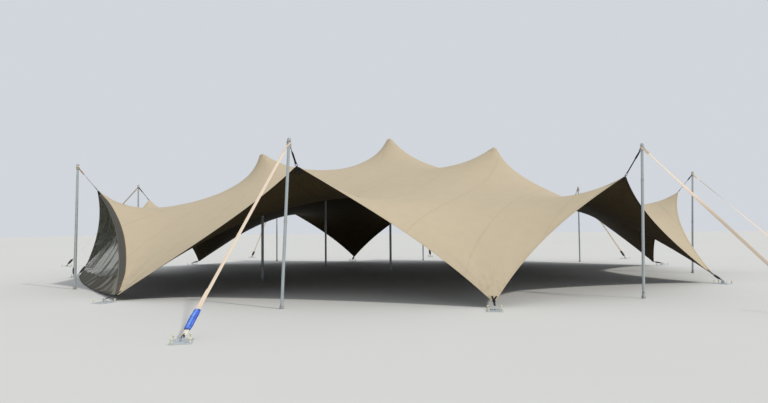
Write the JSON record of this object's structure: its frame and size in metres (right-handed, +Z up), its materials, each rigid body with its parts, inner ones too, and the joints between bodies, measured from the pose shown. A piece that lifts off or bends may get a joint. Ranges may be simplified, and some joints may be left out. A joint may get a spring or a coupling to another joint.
{
  "type": "stretch tent",
  "caption": "Large freeform stretch tent: one tensioned beige canopy over inner poles, guyed side poles, staked low points and a sheer mesh wall in one side.",
  "frame": {"origin": "on the ground, at the centre of the centre pole's foot", "axes": "+Z up; +Y runs from the front guy towards the back doorway, +X to the right seen from the front"},
  "size_m": [27.6351, 24.1429, 4.535],
  "materials": {
    "stretch_fabric": "matte coated stretch knit, beige outside, darker underside",
    "sheer_mesh": "fine grey-olive mesh, see-through",
    "pole_metal": "dull silver tube with light scuffs",
    "plate_steel": "galvanised, scuffed, with pale stake caps",
    "black_webbing": "woven black webbing",
    "guy_webbing": "woven peach-tan webbing with a covered ratchet"
  },
  "bodies": {
    "root": {"canopy_panel_1": "stretch_fabric", "canopy_panel_2": "stretch_fabric", "canopy_panel_3": "stretch_fabric", "canopy_panel_4": "stretch_fabric", "canopy_panel_5": "stretch_fabric", "canopy_panel_6": "stretch_fabric", "canopy_panel_7": "stretch_fabric", "canopy_panel_8": "stretch_fabric", "canopy_panel_9": "stretch_fabric", "canopy_panel_10": "stretch_fabric", "canopy_panel_11": "stretch_fabric", "canopy_panel_12": "stretch_fabric", "mesh_wall": "sheer_mesh", "centre_pole": "pole_metal", "inner_pole_1": "pole_metal", "inner_pole_2": "pole_metal", "inner_pole_3": "pole_metal", "inner_pole_4": "pole_metal", "side_pole_1": "pole_metal", "tip_strap_1": "black_webbing", "guy_1": "guy_webbing", "guy_anchor_1": "plate_steel", "hold_down_1": "plate_steel", "side_pole_2": "pole_metal", "tip_strap_2": "black_webbing", "guy_2": "guy_webbing", "guy_anchor_2": "plate_steel", "hold_down_2": "plate_steel", "side_pole_3": "pole_metal", "tip_strap_3": "black_webbing", "guy_3": "guy_webbing", "guy_anchor_3": "plate_steel", "hold_down_3": "plate_steel", "side_pole_4": "pole_metal", "tip_strap_4": "black_webbing", "guy_4": "guy_webbing", "guy_anchor_4": "plate_steel", "hold_down_4": "plate_steel", "side_pole_5": "pole_metal", "tip_strap_5": "black_webbing", "guy_5": "guy_webbing", "guy_anchor_5": "plate_steel", "hold_down_5": "plate_steel", "side_pole_6": "pole_metal", "tip_strap_6": "black_webbing", "guy_6": "guy_webbing", "guy_anchor_6": "plate_steel", "hold_down_6": "plate_steel", "side_pole_7": "pole_metal", "tip_strap_7": "black_webbing", "guy_7": "guy_webbing", "hold_down_7": "plate_steel", "side_pole_8": "pole_metal", "tip_strap_8": "black_webbing", "guy_8": "guy_webbing", "guy_anchor_8": "plate_steel", "hold_down_8": "plate_steel"}
  },
  "joints": []
}
